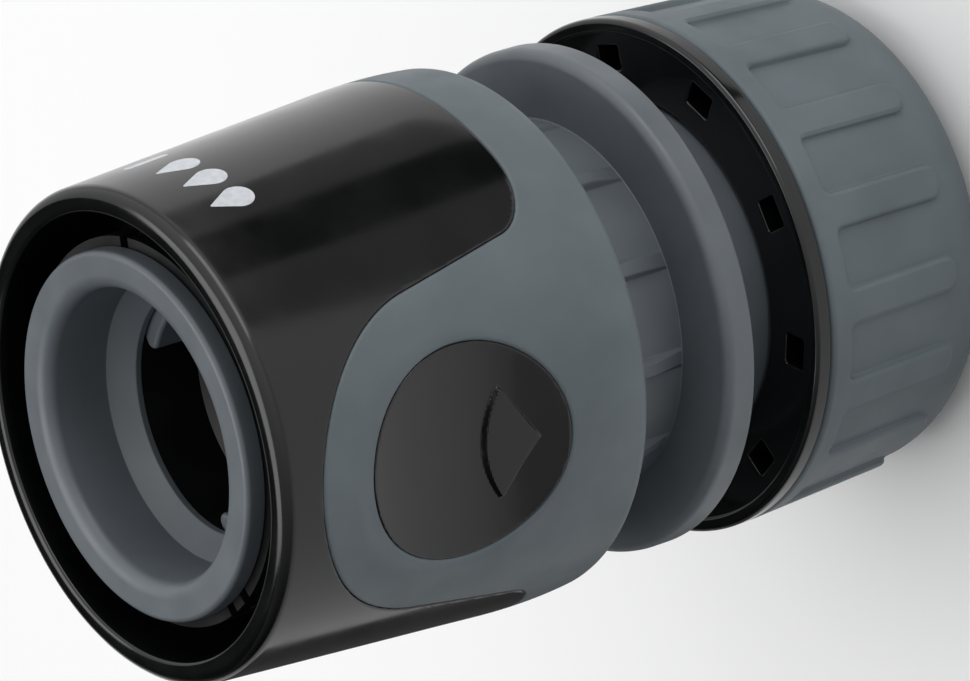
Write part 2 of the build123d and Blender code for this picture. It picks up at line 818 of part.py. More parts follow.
socket_body.part.label = "socket_body"
export_step(socket_body.part, "parts/socket_body.step")
mouth_ring.part.label = "mouth_ring"
export_step(mouth_ring.part, "parts/mouth_ring.step")
for index in range(claw_count):
    azimuth = claw_azimuth + index * 360 / claw_count
    locking_claw = claw_head.part.rotate(Axis.Z, azimuth)
    locking_claw.label = f"locking_claw_{index + 1}"
    export_step(locking_claw, f"parts/{locking_claw.label}.step")
sleeve_shell.part.label = "sleeve_shell"
export_step(sleeve_shell.part, "parts/sleeve_shell.step")
sleeve_grip.part.label = "sleeve_grip"
export_step(sleeve_grip.part, "parts/sleeve_grip.step")
sleeve_spring.part.label = "sleeve_spring"
export_step(sleeve_spring.part, "parts/sleeve_spring.step")
tail_body.part.label = "tail_body"
export_step(tail_body.part, "parts/tail_body.step")
body_seal.part.label = "body_seal"
export_step(body_seal.part, "parts/body_seal.step")
valve_seat.part.label = "valve_seat"
export_step(valve_seat.part, "parts/valve_seat.step")
valve_plunger.part.label = "valve_plunger"
export_step(valve_plunger.part, "parts/valve_plunger.step")
valve_seal.part.label = "valve_seal"
export_step(valve_seal.part, "parts/valve_seal.step")
valve_spring.part.label = "valve_spring"
export_step(valve_spring.part, "parts/valve_spring.step")
grip_ring.part.label = "grip_ring"
export_step(grip_ring.part, "parts/grip_ring.step")
nut_core.part.label = "nut_core"
export_step(nut_core.part, "parts/nut_core.step")
nut_grip.part.label = "nut_grip"
export_step(nut_grip.part, "parts/nut_grip.step")
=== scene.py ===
import math
import bpy
import numpy as np
from mathutils import Matrix, Vector


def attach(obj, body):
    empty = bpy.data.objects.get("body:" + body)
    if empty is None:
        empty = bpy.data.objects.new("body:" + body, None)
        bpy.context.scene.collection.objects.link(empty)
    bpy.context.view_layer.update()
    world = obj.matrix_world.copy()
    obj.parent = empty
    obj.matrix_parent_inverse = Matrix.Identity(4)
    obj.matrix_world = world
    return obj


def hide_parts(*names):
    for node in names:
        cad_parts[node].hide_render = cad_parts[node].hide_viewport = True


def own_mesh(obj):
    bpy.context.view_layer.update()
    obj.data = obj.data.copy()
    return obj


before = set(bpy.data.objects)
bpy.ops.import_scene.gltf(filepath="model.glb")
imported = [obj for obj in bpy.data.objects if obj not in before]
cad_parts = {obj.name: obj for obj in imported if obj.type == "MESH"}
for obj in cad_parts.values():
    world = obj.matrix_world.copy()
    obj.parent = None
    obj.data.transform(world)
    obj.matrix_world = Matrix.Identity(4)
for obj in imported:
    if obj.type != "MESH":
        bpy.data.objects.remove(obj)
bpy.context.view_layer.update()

# Garden hose quick connector, standing on its nut. Everything is worked out in millimetres and
# goes into the meshes in metres. +Z runs up the axis to the mouth, the thumb recesses face -Y, +Y
mm = 0.001


# sRGB hex to linear: c / 12.92 below 0.04045, else ((c + 0.055) / 1.055) ^ 2.4
def linear(colour):
    parts = [int(colour[k:k + 2], 16) / 255 for k in (1, 3, 5)]
    return [*[p / 12.92 if p <= 0.04045 else ((p + 0.055) / 1.055) ** 2.4 for p in parts], 1]


# One node: feeds gives the outputs that its sockets read, values the numbers set on them
def addNode(tree, kind, feeds=None, values=None, **settings):
    node = tree.nodes.new(kind)
    for name, value in settings.items():
        setattr(node, name, value)
    for socket, value in (values or {}).items():
        node.inputs[socket].default_value = value
    for socket, source in (feeds or {}).items():
        tree.links.new(source, node.inputs[socket])
    return node


# Empty material with its shader, its output and the object's own coordinates in metres
def startMaterial(name):
    material = bpy.data.materials.new(name)
    material.use_nodes = True
    tree = material.node_tree
    tree.nodes.clear()
    shader = addNode(tree, "ShaderNodeBsdfPrincipled")
    addNode(tree, "ShaderNodeOutputMaterial", {"Surface": shader.outputs[0]})
    place = addNode(tree, "ShaderNodeTexCoord").outputs["Object"]
    return material, tree, shader, place


# Moulded plastic: colour = dark + (light - dark) * noise, a gloss that wanders the same way, and
# two reliefs added up, the slow sink of the melt and the fine grain of the mould. Noise stays
# near a half, so 0.35 to 0.65 is stretched over the whole range
def plastic(name, look):
    material, tree, shader, place = startMaterial(name)
    tones = addNode(tree, "ShaderNodeTexNoise", {"Vector": place},
                    {"Scale": 1 / (look["toneSize"] * mm), "Detail": 3.0})
    share = addNode(tree, "ShaderNodeMapRange", {"Value": tones.outputs["Fac"]},
                    {"From Min": 0.35, "From Max": 0.65})
    colour = addNode(tree, "ShaderNodeMix", {0: share.outputs["Result"]},
                     {6: linear(look["dark"]), 7: linear(look["light"])}, data_type="RGBA")
    smears = addNode(tree, "ShaderNodeTexNoise", {"Vector": place},
                     {"Scale": 1 / (look["smearSize"] * mm), "Detail": 3.0})
    gloss = addNode(tree, "ShaderNodeMapRange", {"Value": smears.outputs["Fac"]},
                    {"From Min": 0.35, "From Max": 0.65, "To Min": look["gloss"][0],
                     "To Max": look["gloss"][1]})
    flow = addNode(tree, "ShaderNodeTexNoise", {"Vector": place},
                   {"Scale": 1 / (look["flowSize"] * mm), "Detail": 1.0})
    sink = addNode(tree, "ShaderNodeBump", {"Height": flow.outputs["Fac"]},
                   {"Distance": look["flowDepth"] * mm})
    grain = addNode(tree, "ShaderNodeTexNoise", {"Vector": place},
                    {"Scale": 1 / (look["grainSize"] * mm), "Detail": 3.0})
    skinRelief = addNode(tree, "ShaderNodeBump",
                         {"Height": grain.outputs["Fac"], "Normal": sink.outputs["Normal"]},
                         {"Distance": look["grainDepth"] * mm})
    tree.links.new(colour.outputs[2], shader.inputs["Base Color"])
    tree.links.new(gloss.outputs["Result"], shader.inputs["Roughness"])
    tree.links.new(skinRelief.outputs["Normal"], shader.inputs["Normal"])
    shader.inputs["IOR"].default_value = look["ior"]
    return material


# Gloss black ABS, injection moulded in a polished mould: deep black, a sharp reflection that
# wavers over a few millimetres where the melt shrank
polishedAbs = plastic("PolishedBlackAbs", dict(
    dark="#050606", light="#0a0b0b", toneSize=6, gloss=(0.13, 0.19), smearSize=4, ior=1.53,
    flowSize=9, flowDepth=0.02, grainSize=0.3, grainDepth=0.0006))
# Satin black ABS of the hidden socket: same melt, a plain mould, so the light spreads wider
satinBlackAbs = plastic("SatinBlackAbs", dict(
    dark="#0a0b0b", light="#101111", toneSize=5, gloss=(0.3, 0.4), smearSize=3, ior=1.53,
    flowSize=7, flowDepth=0.02, grainSize=0.25, grainDepth=0.001))
# Grey ABS of the ring, claws and tail body: satin from a spark-eroded mould, slightly blue
satinGreyAbs = plastic("SatinGreyAbs", dict(
    dark="#53595e", light="#5b6166", toneSize=7, gloss=(0.38, 0.48), smearSize=3, ior=1.53,
    flowSize=8, flowDepth=0.02, grainSize=0.28, grainDepth=0.002))
# Grey thermoplastic elastomer, moulded over the hard shells: matt, soft at the edges, with the
# fine grain of an etched mould. The grain is drawn at 0.3 mm, coarser than the real one
softGreyTpe = plastic("MouldedGreyTpe", dict(
    dark="#515a5f", light="#5a6368", toneSize=8, gloss=(0.5, 0.6), smearSize=3, ior=1.48,
    flowSize=6, flowDepth=0.02, grainSize=0.3, grainDepth=0.004))
# White pad-printing ink: thin, even and a little glossy
whiteInk = plastic("PadPrintedWhiteInk", dict(
    dark="#b4b8bd", light="#c2c5ca", toneSize=0.5, gloss=(0.35, 0.45), smearSize=1, ior=1.5,
    flowSize=3, flowDepth=0.002, grainSize=0.15, grainDepth=0.001))
# EPDM rubber of the ring seals: moulded, black, faintly bloomed
sealRubber = plastic("MouldedEpdmRubber", dict(
    dark="#141414", light="#1d1d1c", toneSize=2, gloss=(0.42, 0.55), smearSize=1, ior=1.5,
    flowSize=2, flowDepth=0.004, grainSize=0.1, grainDepth=0.001))


# Stainless spring wire, drawn through a die: bright metal whose shine is blurred by fine marks,
# with a tone that wanders over half a millimetre
def drawnWire():
    material, tree, shader, place = startMaterial("DrawnSpringWire")
    tones = addNode(tree, "ShaderNodeTexNoise", {"Vector": place}, {"Scale": 1 / (0.6 * mm)})
    share = addNode(tree, "ShaderNodeMapRange", {"Value": tones.outputs["Fac"]},
                    {"From Min": 0.35, "From Max": 0.65})
    colour = addNode(tree, "ShaderNodeMix", {0: share.outputs["Result"]},
                     {6: linear("#8d8f90"), 7: linear("#b4b5b5")}, data_type="RGBA")
    marks = addNode(tree, "ShaderNodeTexNoise", {"Vector": place}, {"Scale": 1 / (0.12 * mm)})
    gloss = addNode(tree, "ShaderNodeMapRange", {"Value": marks.outputs["Fac"]},
                    {"From Min": 0.35, "From Max": 0.65, "To Min": 0.22, "To Max": 0.36})
    scratches = addNode(tree, "ShaderNodeBump", {"Height": marks.outputs["Fac"]},
                        {"Distance": 0.002 * mm})
    tree.links.new(colour.outputs[2], shader.inputs["Base Color"])
    tree.links.new(gloss.outputs["Result"], shader.inputs["Roughness"])
    tree.links.new(scratches.outputs["Normal"], shader.inputs["Normal"])
    shader.inputs["Metallic"].default_value = 1.0
    return material


springWire = drawnWire()
print("materials made")


# Surfaces. A closed outline of radius and height is carried round the axis. Each point keeps seven
# numbers: cos, sin, radius, height, the outline's outward direction (2) and the run along it


# Closed outline with rounded corners. At a corner that turns by t with a radius r, the arc
# starts r tan(t / 2) before it, and its points are the start turned round the arc's centre.
# Runs are then cut into lengths of about one step. Returns radius, height and run
def roundedOutline(corners, stepOf, arcPoints=7):
    table = np.array(corners, float)
    at, bend = table[:, :2], table[:, 2:]
    into = at - np.roll(at, 1, 0)
    into /= np.linalg.norm(into, axis=1)[:, None]
    away = np.roll(into, -1, 0)
    side = np.stack([-into[:, 1], into[:, 0]], 1)
    turn = np.arctan2((side * away).sum(1), (into * away).sum(1))[:, None]
    start = at - into * bend * np.tan(np.abs(turn) / 2)
    centre = start + side * bend * np.sign(turn)
    angle = turn * np.linspace(0, 1, arcPoints)
    arm = start - centre
    arcs = np.stack([
        centre[:, :1] + arm[:, :1] * np.cos(angle) - arm[:, 1:] * np.sin(angle),
        centre[:, 1:] + arm[:, :1] * np.sin(angle) + arm[:, 1:] * np.cos(angle),
    ], 2).reshape(-1, 2)
    return spaced(arcs, stepOf)


# Closed run of points, thinned where they meet and filled in where a stretch is longer than
# stepOf(radius, height) allows at its middle
def spaced(points, stepOf):
    gap = np.linalg.norm(np.roll(points, -1, 0) - points, axis=1)
    points = points[gap > 1e-3]
    closed = np.vstack([points, points[:1]])
    run = np.concatenate([[0], np.cumsum(np.linalg.norm(np.diff(closed, axis=0), axis=1))])
    steps = stepOf(*((closed[1:] + closed[:-1]) / 2).T)
    share = np.maximum(1, np.ceil(np.diff(run) / steps)).astype(int)
    first = np.repeat(run[:-1], share)
    number = np.arange(len(first)) - np.repeat(np.cumsum(share) - share, share)
    here = first + number * np.repeat(np.diff(run) / share, share)
    return np.interp(here, run, closed[:, 0]), np.interp(here, run, closed[:, 1]), here


# The same step everywhere along an outline
def evenSteps(size):
    return lambda radius, height: np.full_like(radius, size)


# Angles of one turn, count of them, all alike
def evenAngles(count):
    return np.arange(count) * 2 * np.pi / count


# Angles of one turn in degrees: repeats alike stretches, each with fine steps for a reach either
# side of its feature and coarse steps from there to the next
def steppedAngles(first, repeats, reach, fine, coarse):
    pitch = 360 / repeats
    near = np.linspace(-reach, reach, round(2 * reach / fine), endpoint=False)
    far = np.linspace(reach, pitch - reach, round((pitch - 2 * reach) / coarse), endpoint=False)
    return np.radians(
        (first + pitch * np.arange(repeats)[:, None] + np.concatenate([near, far])).ravel())


# Outline (radius, height, run) carried round: x = r cos a, y = r sin a, z = height
def turned(outline, angle):
    radius, height, run = outline
    outR = np.roll(height, -1) - np.roll(height, 1)
    outZ = np.roll(radius, 1) - np.roll(radius, -1)
    size = np.hypot(outR, outZ)
    rows = np.stack([radius, height, outR / size, outZ / size, run], 1)
    columns, count = len(angle), len(rows)
    points = np.zeros((columns, count, 7))
    points[:, :, 0] = np.cos(angle)[:, None]
    points[:, :, 1] = np.sin(angle)[:, None]
    points[:, :, 2:] = rows
    a, s = np.meshgrid(np.arange(columns), np.arange(count), indexing="ij")
    aNext, sNext = (a + 1) % columns, (s + 1) % count
    quad = np.stack([a * count + s, aNext * count + s, aNext * count + sNext, a * count + sNext], 2)
    quad = quad.reshape(-1, 4)
    return points.reshape(-1, 7), np.vstack([quad[:, [0, 1, 2]], quad[:, [0, 2, 3]]])


# Splits triangles along the line where a field is 0: each mixed triangle is turned so that
# its odd corner comes first, and the crossing lies at f0 / (f0 - f1) along an edge
def cut(points, faces, field, keep=None):
    field = np.where(np.abs(field) < 1e-6, 1e-6, field)
    inside = field > 0
    count = inside[faces].sum(1)
    mixed = faces[(count == 1) | (count == 2)]
    odd = np.where(count[(count == 1) | (count == 2)][:, None] == 1, inside[mixed], ~inside[mixed])
    pick = (odd.argmax(1)[:, None] + np.arange(3)) % 3
    a, b, c = np.take_along_axis(mixed, pick, 1).T
    ends = np.sort(np.stack([np.concatenate([a, a]), np.concatenate([b, c])], 1), 1)
    edges, where = np.unique(ends, axis=0, return_inverse=True)
    share = field[edges[:, 0]] / (field[edges[:, 0]] - field[edges[:, 1]])
    crossing = points[edges[:, 0]] + share[:, None] * (points[edges[:, 1]] - points[edges[:, 0]])
    ab, ac = len(points) + where.reshape(2, -1)
    tips = np.stack([a, ab, ac], 1)
    rests = np.stack([ab, b, c, ab, c, ac], 1).reshape(-1, 2, 3)
    lone = inside[a]
    within = np.vstack([faces[count == 3], tips[lone], rests[~lone].reshape(-1, 3)])
    beyond = np.vstack([faces[count == 0], tips[~lone], rests[lone].reshape(-1, 3)])
    points = np.vstack([points, crossing])
    length = np.hypot(points[:, 0], points[:, 1])
    points[:, :2] /= length[:, None]
    faces = within if keep == "inside" else np.vstack([within, beyond])
    used, faces = np.unique(faces, return_inverse=True)
    return points[used], faces.reshape(-1, 3)


# Positions: the radius and height moved by out along the outline's outward direction
def placed(points, radius=None, out=0.0, up=0.0):
    reach = (points[:, 2] if radius is None else radius) + out * points[:, 4]
    return np.stack([
        reach * points[:, 0], reach * points[:, 1], points[:, 3] + out * points[:, 5] + up], 1)


# Mesh from arrays of places in millimetres and of triangles
def makePiece(name, where, faces, material, body, slot, *nodes):
    mesh = bpy.data.meshes.new(name)
    mesh.vertices.add(len(where))
    mesh.vertices.foreach_set("co", (where * mm).ravel())
    mesh.loops.add(faces.size)
    mesh.loops.foreach_set("vertex_index", faces.ravel().astype(np.int32))
    mesh.polygons.add(len(faces))
    mesh.polygons.foreach_set("loop_start", np.arange(0, faces.size, 3, dtype=np.int32))
    mesh.update(calc_edges=True)
    mesh.validate()
    mesh.shade_smooth()
    corner = where[faces]
    flat = np.cross(corner[:, 1] - corner[:, 0], corner[:, 2] - corner[:, 0])
    normal = np.stack([np.bincount(faces.ravel(), np.repeat(flat[:, k], 3), len(where))
                       for k in range(3)], 1)
    normal /= np.maximum(np.linalg.norm(normal, axis=1), 1e-12)[:, None]
    mesh.normals_split_custom_set_from_vertices(normal)
    mesh.materials.append(material)
    piece = bpy.data.objects.new(name, mesh)
    bpy.context.collection.objects.link(piece)
    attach(piece, body)
    if nodes:
        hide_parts(*nodes)
    print(name, len(faces), "triangles")
    return piece


# Closed thin layer: the faces, the same faces turned over below, and a wall between the
# two along each edge that only one face uses
def skin(top, bottom, faces):
    count = len(top)
    edges = np.vstack([faces[:, [0, 1]], faces[:, [1, 2]], faces[:, [2, 0]]])
    _, first, times = np.unique(np.sort(edges, 1), axis=0, return_index=True, return_counts=True)
    a, b = edges[first[times == 1]].T
    wall = np.vstack([np.stack([b, a, a + count], 1), np.stack([b, a + count, b + count], 1)])
    return np.vstack([top, bottom]), np.vstack([faces, faces[:, ::-1] + count, wall])


# Smaller of two values, with the crease between them rounded over about one blur
def softMin(a, b, blur):
    return (a + b - np.sqrt((a - b) ** 2 + blur ** 2)) / 2


# Depth inside either of two shapes, with a fillet in the corner between them
def softUnion(a, b, fillet):
    lack = np.hypot(np.maximum(fillet + a, 0), np.maximum(fillet + b, 0))
    return -np.maximum(fillet, -np.maximum(a, b)) + lack


# Depth inside a box with rounded corners, from how far a point lies past its two sides
def roundedBox(pastX, pastY, corner):
    x, y = pastX + corner, pastY + corner
    return corner - np.hypot(np.maximum(x, 0), np.maximum(y, 0)) - np.minimum(np.maximum(x, y), 0)


# Fall of a quarter circle: size at depth 0, nothing from a depth of one size inwards
def roundOver(depth, size):
    t = np.clip(1 - depth / size, 0, 1)
    return size * (1 - np.sqrt(1 - t ** 2))


# Release sleeve, as in the CAD part. Outside: knots of height, radius and slope, a heel and a nose
# of radius, height and rounding. Then the bore, the soft grip, the thumb scoop and the arrow, and
# where the outside ends as a run along the outline
sleeve = dict(
    knots=[[34.8, 18.95, 0.1], [39.0, 19.1, -0.0174], [44.0, 18.8, -0.0688], [62.9, 17.5, -0.0688]],
    heel=(17.85, 34.8, 1.1), nose=(16.5, 62.9, 1.0), rearFace=[16.0, 33.7],
    bore=[[16.2, 63.9], [15.95, 63.87], [15.77, 63.77], [15.7, 63.6], [15.7, 62.0], [15.7, 60.0],
          [13.65, 51.6], [13.1, 51.5], [13.1, 49.0], [15.5, 49.0], [15.5, 34.0], [15.54, 33.84],
          [15.65, 33.74], [15.8, 33.7]],
    gripDepth=0.85, gripEdge=0.22, shellEdge=0.16, seam=0.06, bedding=0.05, gripFrom=0.65,
    outsideTo=30.9, skinTo=31.5, lobeRadius=11.65, lobeHeight=49.1, lobeLean=10.5, bandHeight=39.2,
    fillet=3.0, recessRadius=7.75, recessHeight=48.5, scoopRadius=19.0, scoopFloor=16.4,
    scoopHeight=50.6, scoopInside=16.3, crease=0.16, arrowHalf=4.1, arrowWing=45.65,
    arrowTip=42.75, arrowBase=46.9, arrowRise=0.45, arrowTipRise=0.08, arrowLeast=0.03,
    arrowWall=0.16, arrowRim=0.1, arrowMargin=1.0, boreRadius=16.4, arrowBand=(42, 47.5),
    steps=dict(inside=1.6, arrow=0.2, outside=0.43),
    angles=dict(first=90, repeats=2, reach=14, fine=0.5, coarse=1.05))


# Outside of the sleeve: cubic runs r(t) = Hermite of radii and slopes from the heel over
# the crown to the waist, then a straight taper; the corners are arcs
def sleeveOutline(stepOf):
    s = sleeve
    knots = np.array(s["knots"])
    height = np.linspace(knots[0, 0], knots[-1, 0], 68)
    k = np.clip(np.searchsorted(knots[:, 0], height, side="right") - 1, 0, len(knots) - 2)
    span = knots[k + 1, 0] - knots[k, 0]
    t = (height - knots[k, 0]) / span
    radius = (2 * t ** 3 - 3 * t ** 2 + 1) * knots[k, 1]
    radius += (t ** 3 - 2 * t ** 2 + t) * span * knots[k, 2]
    radius += (3 * t ** 2 - 2 * t ** 3) * knots[k + 1, 1]
    radius += (t ** 3 - t ** 2) * span * knots[k + 1, 2]
    turn = np.linspace(0, np.pi / 2, 9)
    (heelR, heelZ, heelBend), (noseR, noseZ, noseBend) = s["heel"], s["nose"]
    heel = np.stack([heelR + heelBend * np.sin(turn), heelZ - heelBend * np.cos(turn)], 1)
    nose = np.stack([noseR + noseBend * np.cos(turn), noseZ + noseBend * np.sin(turn)], 1)
    body = np.stack([radius, height], 1)[1:-1]
    return spaced(np.vstack([[s["rearFace"]], heel, body, nose, s["bore"]]), stepOf)


# Steps along the sleeve's outline: long inside, short past the arrow
def sleeveSteps(radius, height):
    s, steps = sleeve, sleeve["steps"]
    byArrow = (height > s["arrowBand"][0]) & (height < s["arrowBand"][1])
    outside = np.where(byArrow, steps["arrow"], steps["outside"])
    return np.where(radius < s["boreRadius"], steps["inside"], outside)


# Depth inside the soft grip's outline, seen along Y: lobe with leaning flanks, joined to the
# band at the rear by a fillet, less the round recess
def gripField(x, z):
    s = sleeve
    lean = math.radians(s["lobeLean"])
    x, up = np.abs(x), z - s["lobeHeight"]
    lobe = s["lobeRadius"] - np.where(
        np.arctan2(up, x) < lean, x * math.cos(lean) + up * math.sin(lean), np.hypot(x, up))
    hill = softUnion(lobe, s["bandHeight"] - z, s["fillet"])
    return np.minimum(hill, np.hypot(x, z - s["recessHeight"]) - s["recessRadius"])


# Radius of the sleeve, cut back to the scoop's floor: y = floor + R - sqrt(R2 - dz2), and the
# radius there is y / |sin|, with the sine kept away from 0 at the sides
def scoopedRadius(points):
    s = sleeve
    dz = points[:, 3] - s["scoopHeight"]
    floor = s["scoopFloor"] + s["scoopRadius"] - np.sqrt(s["scoopRadius"] ** 2 - dz ** 2)
    reach = floor / np.maximum(np.abs(points[:, 1]), 0.05)
    cutBack = softMin(points[:, 2], reach, s["crease"])
    return np.where(points[:, 2] > s["scoopInside"], cutBack, points[:, 2])


# Depth inside a shape, measured along the surface: the depth seen along Y divided by its
# change for a millimetre round or up the sleeve, of which at least 0.3 counts
def alongSurface(points, shape):
    step = 0.02
    radius = scoopedRadius(points)
    slip = step / radius
    here = shape(radius * points[:, 0], points[:, 3])
    x = radius * (points[:, 0] * np.cos(slip) - points[:, 1] * np.sin(slip))
    around = shape(x, points[:, 3]) - here
    up = shape(radius * points[:, 0], points[:, 3] + step) - here
    return here / np.maximum(np.hypot(around, up) / step, 0.3)


# Depth inside the grip; on the rear face it counts from the grip's inner edge, and in the bore
# it is well below 0
def gripDepthOf(points):
    run = points[:, 6]
    depth = np.minimum(alongSurface(points, gripField), run - sleeve["gripFrom"])
    return np.where(run < sleeve["outsideTo"], depth, -2)


# Depth inside the arrow: below an arc over the base and above both wings' lines
def arrowField(x, z):
    s = sleeve
    half, rise = s["arrowHalf"], s["arrowBase"] - s["arrowWing"]
    radius = (half ** 2 + rise ** 2) / (2 * rise)
    arc = radius - np.hypot(x, z - s["arrowBase"] + radius)
    run, fall = half, s["arrowWing"] - s["arrowTip"]
    line = (run * (z - s["arrowTip"]) - fall * np.abs(x)) / math.hypot(run, fall)
    return np.minimum(arc, line)


# Flat top of the arrow, straight from a high base to a tip that is nearly down on the scoop's
# floor: rise = top + sqrt(R2 - dz2), over a steep wall
def arrowHeight(points, depth):
    s = sleeve
    dz = np.array([s["arrowBase"], s["arrowTip"]]) - s["scoopHeight"]
    ends = -np.sqrt(s["scoopRadius"] ** 2 - dz ** 2) + [s["arrowRise"], s["arrowTipRise"]]
    share = (s["arrowBase"] - points[:, 3]) / (s["arrowBase"] - s["arrowTip"])
    top = ends[0] + share * (ends[1] - ends[0])
    dz = points[:, 3] - s["scoopHeight"]
    rise = np.maximum(top + np.sqrt(s["scoopRadius"] ** 2 - dz ** 2), s["arrowLeast"])
    return np.clip(depth / s["arrowWall"], 0, 1) * rise


# Hard shell and soft grip, both from the one surface, each cut along the grip's border
def makeSleeve():
    s = sleeve
    points, faces = turned(sleeveOutline(sleeveSteps), steppedAngles(**s["angles"]))
    for level in (-s["shellEdge"], -s["seam"], 0.0, s["seam"]):
        points, faces = cut(points, faces, gripDepthOf(points) - level)
    for level in (-s["arrowRim"], 0.0, s["arrowWall"], s["arrowWall"] + s["arrowRim"]):
        points, faces = cut(points, faces, alongSurface(points, arrowField) - level)
    depth, height = gripDepthOf(points), points[:, 3]
    bed = s["gripDepth"] + s["bedding"] - s["shellEdge"]
    sink = roundOver(-depth, s["shellEdge"]) + np.clip(depth / s["seam"], 0, 1) * bed
    nearArrow = (points[:, 6] < s["outsideTo"]) & (height > s["arrowTip"] - s["arrowMargin"])
    nearArrow &= height < s["arrowBase"] + s["arrowMargin"]
    rise = np.where(nearArrow, arrowHeight(points, alongSurface(points, arrowField)), 0)
    where = placed(points, scoopedRadius(points), rise - sink)
    makePiece("SleeveShell", where, faces, polishedAbs, "release_sleeve", "black_shell",
              "sleeve_shell")

    points, faces = turned(sleeveOutline(sleeveSteps), steppedAngles(**s["angles"]))
    faces = faces[points[faces[:, 0], 6] < s["skinTo"]]
    for level in (s["gripEdge"], s["gripEdge"] / 3, s["gripEdge"] / 12):
        points, faces = cut(points, faces, gripDepthOf(points) - level)
    points, faces = cut(points, faces, gripDepthOf(points), "inside")
    depth = np.maximum(gripDepthOf(points), 0)
    radius = scoopedRadius(points)
    top = placed(points, radius, -roundOver(depth, s["gripEdge"]))
    bottom = placed(points, radius, -s["gripDepth"])
    makePiece("SleeveGrip", *skin(top, bottom, faces), softGreyTpe, "release_sleeve", "soft_grip",
              "sleeve_grip")


makeSleeve()

# Printed mark: three water drops and a bar, in millimetres round and along the sleeve
printedMark = dict(
    height=58.1, dropPitch=3.1, firstDrop=-4.9, dropRadius=1.12, dropTip=0.08, dropFoot=-0.62,
    dropLength=2.2, barAt=4.9, barHalf=(0.45, 1.7), barCorner=0.3, ink=0.03, step=0.12,
    angles=1100, halfHeight=2.6, outsideRadius=17, nearestCosine=0.9)


# Depth inside the mark, with u round the sleeve and v along it: a drop is a large and a small
# circle with their tangents, the bar a rounded box
def markField(points):
    m = printedMark
    foot, tip, corner = m["dropRadius"], m["dropTip"], m["barCorner"]
    u = points[:, 2] * np.arctan2(points[:, 1], points[:, 0])
    v = points[:, 3] - m["height"]
    nearest = np.clip(np.round((u - m["firstDrop"]) / m["dropPitch"]), 0, 2)
    x = np.abs(u - m["firstDrop"] - nearest * m["dropPitch"])
    y = v - m["dropFoot"]
    slope = (foot - tip) / m["dropLength"]
    rise = math.sqrt(1 - slope ** 2)
    along = y * rise - x * slope
    flank = foot - x * rise - y * slope
    point = tip - np.hypot(x, y - m["dropLength"])
    drop = np.where(along > rise * m["dropLength"], point, flank)
    drop = np.where(along < 0, foot - np.hypot(x, y), drop)
    qx, qy = np.abs(u - m["barAt"]) - m["barHalf"][0], np.abs(v) - m["barHalf"][1]
    return np.maximum(drop, roundedBox(qx, qy, corner))


# Thin layer of ink on the shell, half in and half out of it, cut from the +X side
def makeMark():
    m = printedMark
    points, faces = turned(sleeveOutline(evenSteps(m["step"])), evenAngles(m["angles"]))
    near = (points[:, 0] > m["nearestCosine"]) & (points[:, 2] > m["outsideRadius"])
    near &= np.abs(points[:, 3] - m["height"]) < m["halfHeight"]
    faces = faces[near[faces].all(1)]
    points, faces = cut(points, faces, markField(points), "inside")
    top, bottom = placed(points, out=m["ink"] / 2), placed(points, out=-m["ink"] / 2)
    makePiece("PrintedMark", *skin(top, bottom, faces), whiteInk, "release_sleeve", "black_shell")


makeMark()

# Mouth ring: flange, rounded mouth, ledge and throat. Each corner is radius, height, rounding
mouthRing = dict(step=2.0, arcPoints=11, angles=360, corners=[
    (12.0, 56.6, 0.1), (12.0, 62.1, 0.1), (13.0, 62.1, 0.15), (13.0, 63.65, 0.4),
    (10.3, 63.65, 1.05), (10.3, 58.5, 0.1), (8.7, 57.1, 0.15), (8.7, 56.6, 0.1)])


# Plain turned form
def makeMouthRing():
    m = mouthRing
    outline = roundedOutline(m["corners"], evenSteps(m["step"]), m["arcPoints"])
    points, faces = turned(outline, evenAngles(m["angles"]))
    makePiece("MouthRing", placed(points), faces, satinGreyAbs, "connector_body", "grey_body",
              "mouth_ring")


makeMouthRing()

# Tail body: hose tail, threaded tube, disc, ribbed neck, spring seat and valve chamber
tailBody = dict(
    ribs=12, ribHalf=0.6, ribHeight=0.65, ribEase=0.16, neckRadius=13.5, ribbed=(26.7, 34.9),
    step=3.0, arcPoints=6, angles=dict(first=0, repeats=12, reach=3.4, fine=0.35, coarse=1.6),
    corners=[
        (4.6, 2.2, 0.15), (6.0, 2.2, 0.2), (6.4, 3.4, 0.3), (6.4, 5.0, 0.05), (6.0, 5.0, 0.05),
        (6.4, 6.6, 0.05), (6.4, 8.2, 0.05), (6.0, 8.2, 0.05), (6.4, 9.8, 0.05),
        (6.4, 11.4, 0.05), (6.0, 11.4, 0.05), (6.4, 13.0, 0.05), (6.4, 22.0, 0.2),
        (11.2, 22.0, 0.2), (11.2, 12.0, 0.15), (13.0, 12.0, 0.4), (13.0, 24.0, 0.25),
        (18.4, 24.0, 0.3), (18.4, 26.5, 0.8), (13.5, 26.5, 0.08), (13.5, 35.0, 0.15),
        (15.3, 35.0, 0.3), (15.3, 36.5, 0.2), (11.15, 36.5, 0.05), (11.15, 37.7, 0.05),
        (10.09, 37.7, 0.05), (10.09, 39.3, 0.05), (11.15, 39.3, 0.05), (11.15, 41.0, 0.1),
        (8.8, 41.0, 0.1), (8.8, 24.6, 0.3), (4.6, 24.6, 0.2)])


